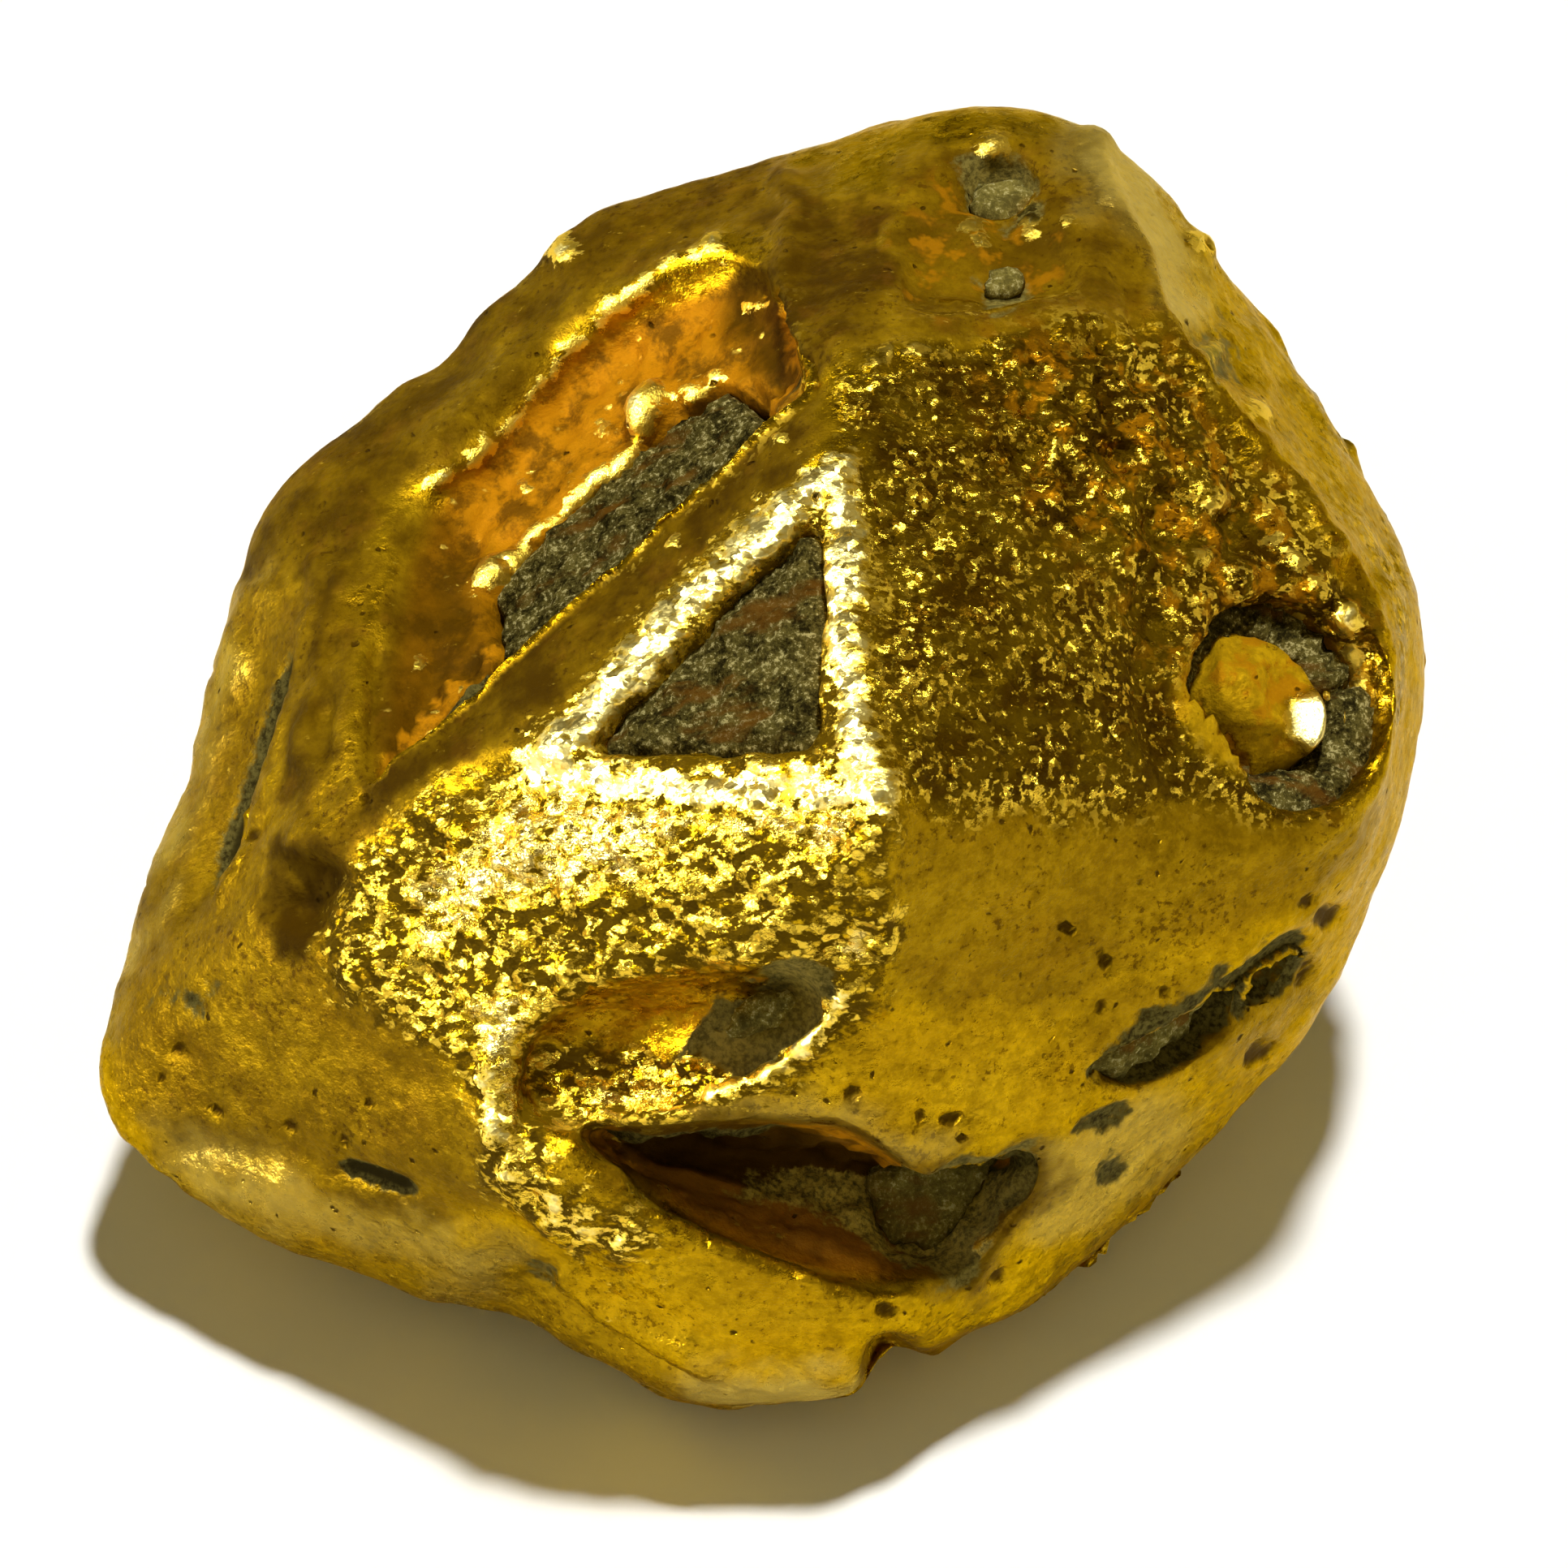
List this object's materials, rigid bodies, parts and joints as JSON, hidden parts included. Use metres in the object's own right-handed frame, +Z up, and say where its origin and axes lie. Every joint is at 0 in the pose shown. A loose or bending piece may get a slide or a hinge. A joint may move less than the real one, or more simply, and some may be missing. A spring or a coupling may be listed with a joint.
{
  "type": "gold crystal",
  "caption": "Waterworn crystal of native gold, a distorted hoppered octahedron with etched and stepped pits that still hold grey rock silt, lying on a flat natural face.",
  "frame": {"origin": "a point of the flat resting face, on the level the crystal lies on, below the middle of the crystal", "axes": "+Z up, square to the resting face; +X along the crystal's longest side; -Y towards the proud four-sided corner"},
  "size_m": [0.0119, 0.0099, 0.0084],
  "materials": {
    "native_gold": "waterworn native gold, frosted and sparkling on top, satin lower down",
    "rock_silt": "dull grey granular silt"
  },
  "bodies": {
    "root": {"gold_crystal": "native_gold", "pit_silt_triangular": "rock_silt", "pit_silt_hopper": "rock_silt", "pit_silt_hollow": "rock_silt", "pit_silt_round": "rock_silt", "pit_silt_groove": "rock_silt", "pit_silt_slit": "rock_silt", "pit_silt_top_upper": "rock_silt", "pit_silt_top_lower": "rock_silt"}
  },
  "joints": []
}
